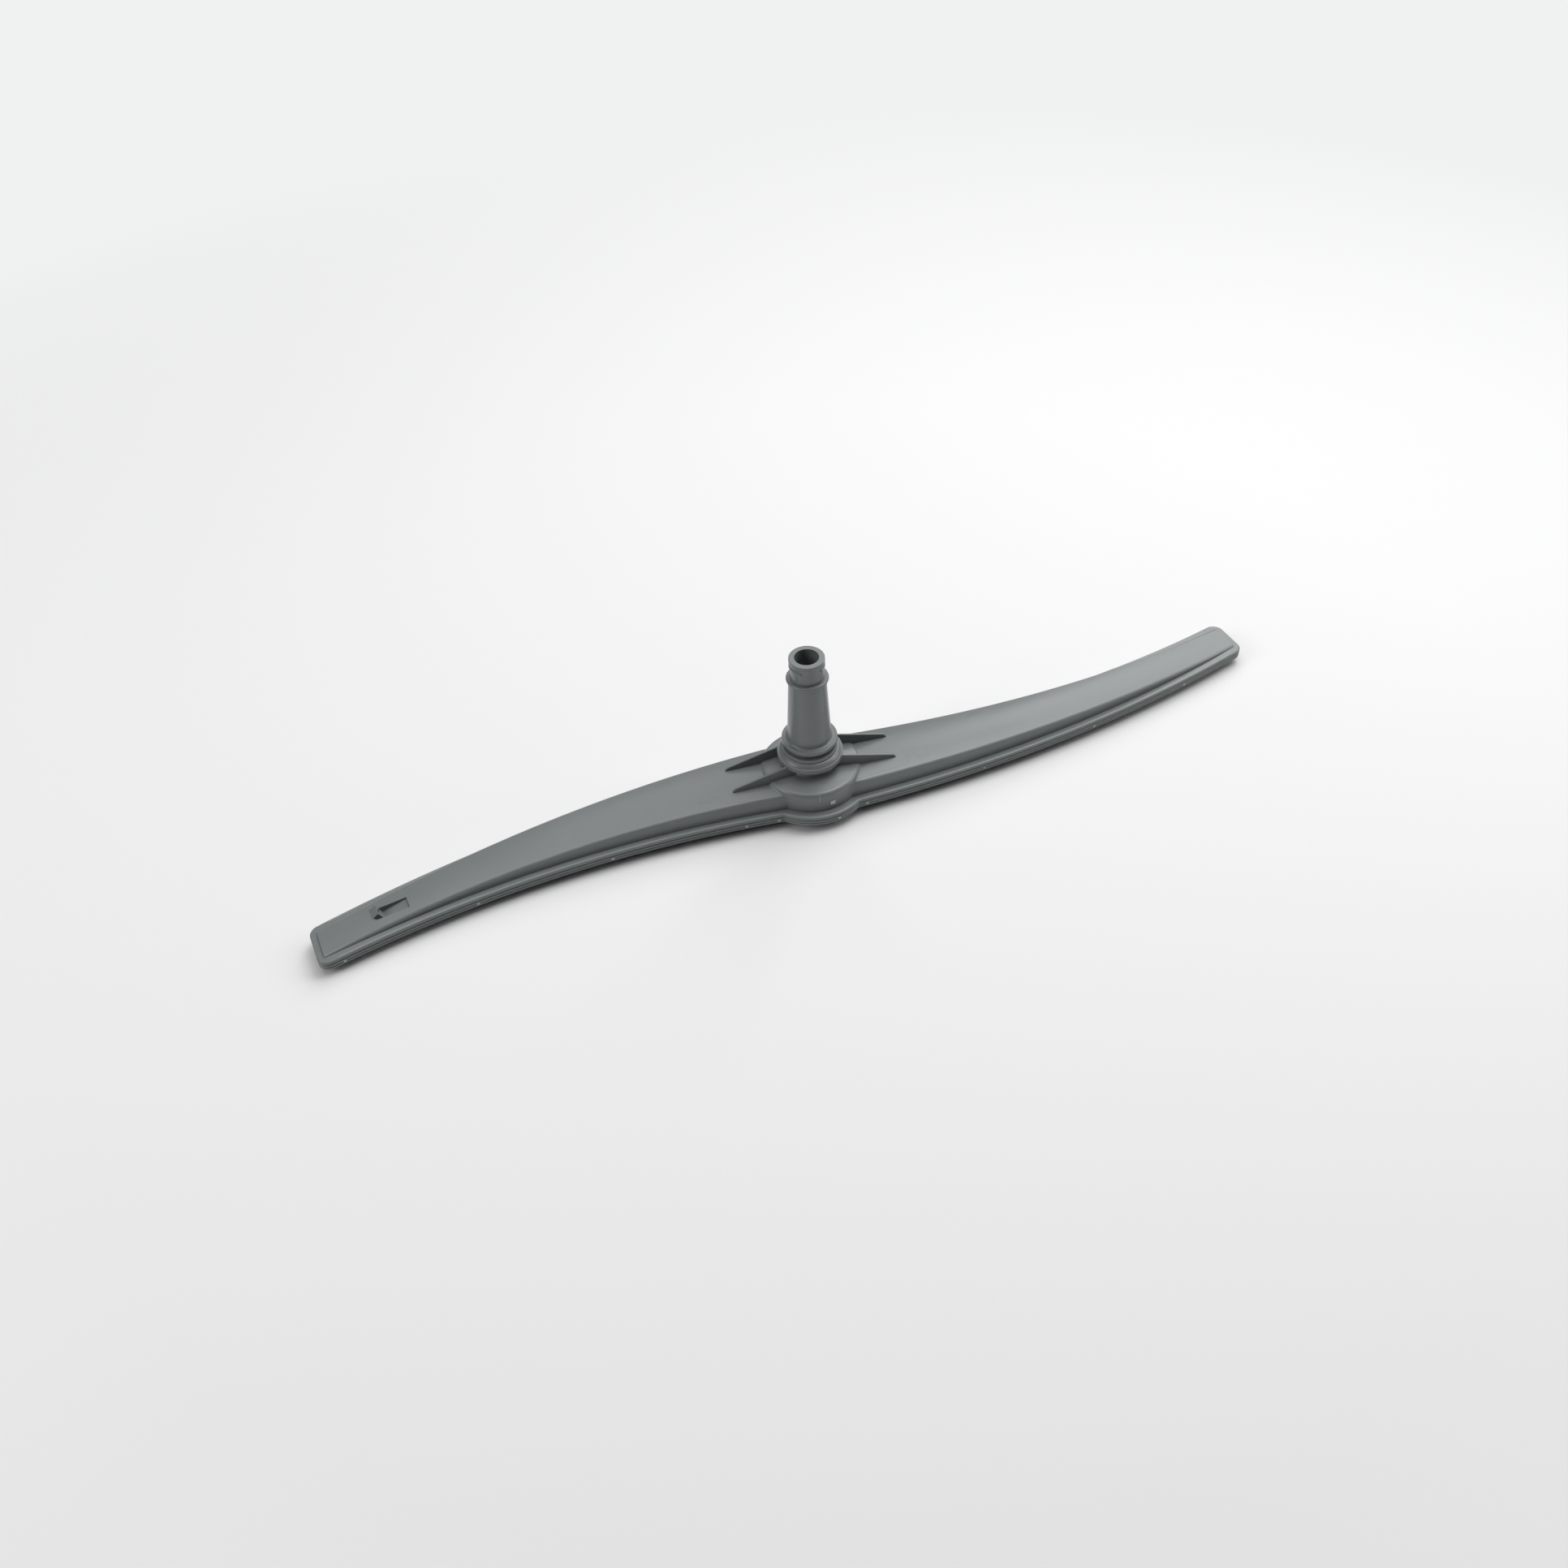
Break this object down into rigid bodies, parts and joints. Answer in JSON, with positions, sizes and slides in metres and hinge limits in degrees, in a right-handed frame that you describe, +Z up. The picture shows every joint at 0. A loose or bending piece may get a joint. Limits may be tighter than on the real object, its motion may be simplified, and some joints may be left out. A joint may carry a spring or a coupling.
{
  "type": "dishwasher spray arm",
  "caption": "S-curved hollow plastic spray arm with a central upright inlet pipe, ringed and braced by fins, welded rim and a hooded end jet.",
  "frame": {"origin": "on the inlet pipe's axis, at the plane that the hub's foot stands on", "axes": "+Z up the inlet pipe towards its mouth, +X along the arms towards the arm without the hooded jet"},
  "size_m": [0.4674, 0.0552, 0.081],
  "materials": {
    "inlet_plastic": "satin grey talc-filled polypropylene",
    "nozzle_plastic": "satin grey talc-filled polypropylene"
  },
  "bodies": {
    "root": {"inlet_shell": "inlet_plastic", "nozzle_shell": "nozzle_plastic"}
  },
  "joints": []
}
